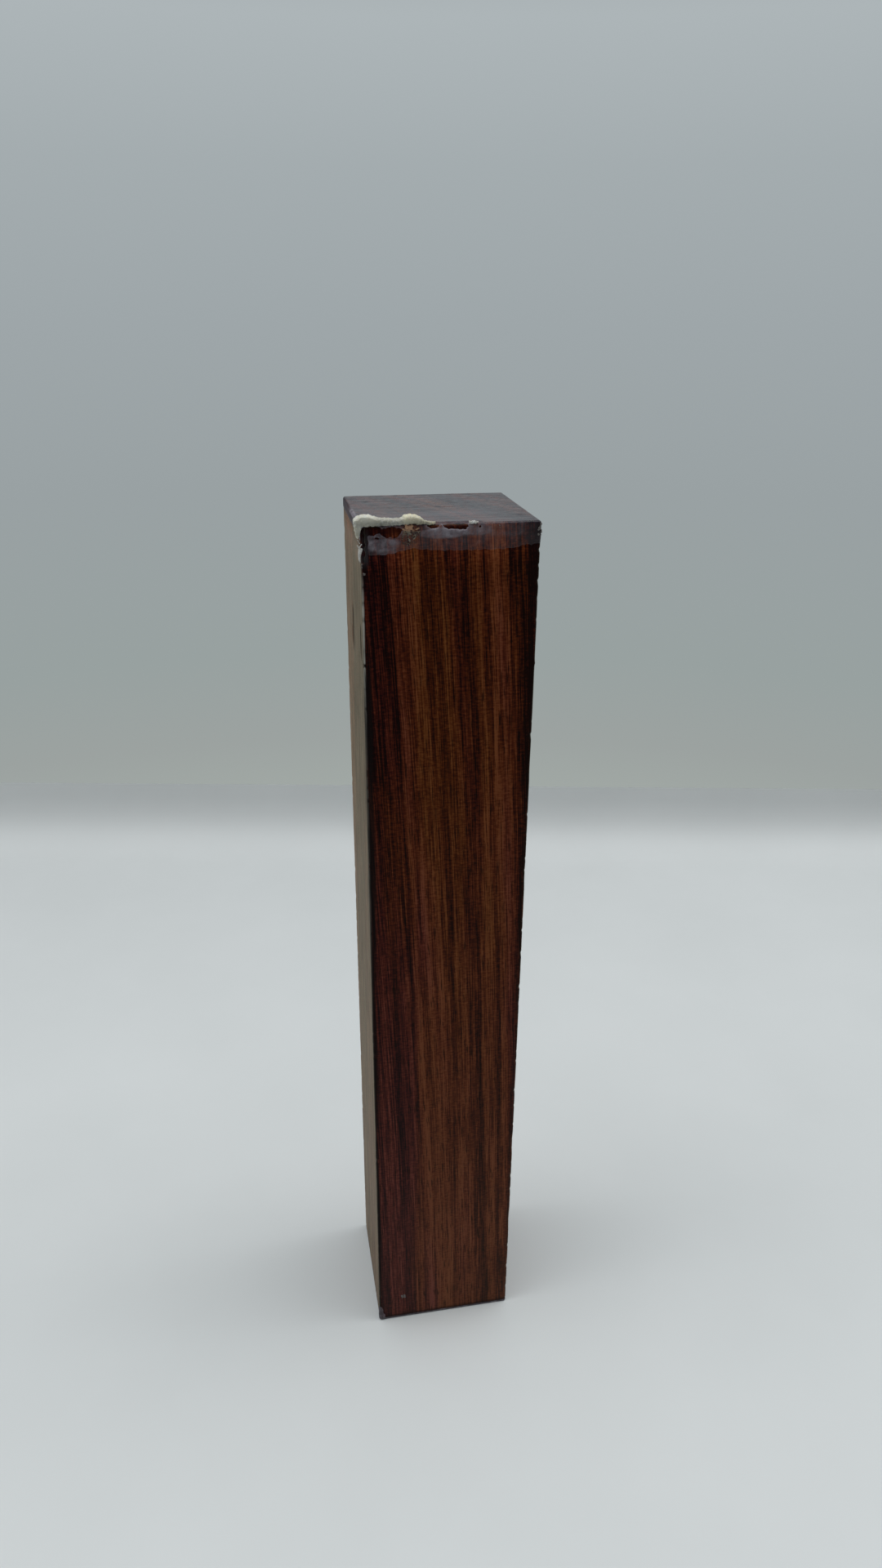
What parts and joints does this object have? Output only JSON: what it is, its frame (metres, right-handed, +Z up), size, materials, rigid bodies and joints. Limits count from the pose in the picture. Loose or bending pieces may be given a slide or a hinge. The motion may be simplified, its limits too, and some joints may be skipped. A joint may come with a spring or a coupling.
{
  "type": "dip pen holder blank",
  "caption": "Square-sawn rosewood stick for turning a dip pen holder, standing on end, with wax-sealed ends and a thick wax bead along one top edge.",
  "frame": {"origin": "centre of the underside, in the plane it stands on", "axes": "+Z up along the grain, -Y out of the front face whose top edge carries the wax bead, +X to the right seen from the front"},
  "size_m": [0.026, 0.0241, 0.1538],
  "materials": {
    "rosewood": "planed, smooth and slightly glossy, with dark and orange-brown stripes along the grain",
    "wax_film": "thin milky wax film over dark wood, glossy",
    "cream_wax": "thick opaque cream wax, lumpy and dull",
    "sawdust": "crumbs of brown and green-grey dust held in wax"
  },
  "bodies": {
    "root": {"wood_block": "rosewood", "top_end_wax": "wax_film", "bottom_end_wax": "wax_film", "wax_bead": "cream_wax", "wax_flecks": "cream_wax", "base_wax_fleck": "cream_wax", "stuck_sawdust": "sawdust"}
  },
  "joints": []
}
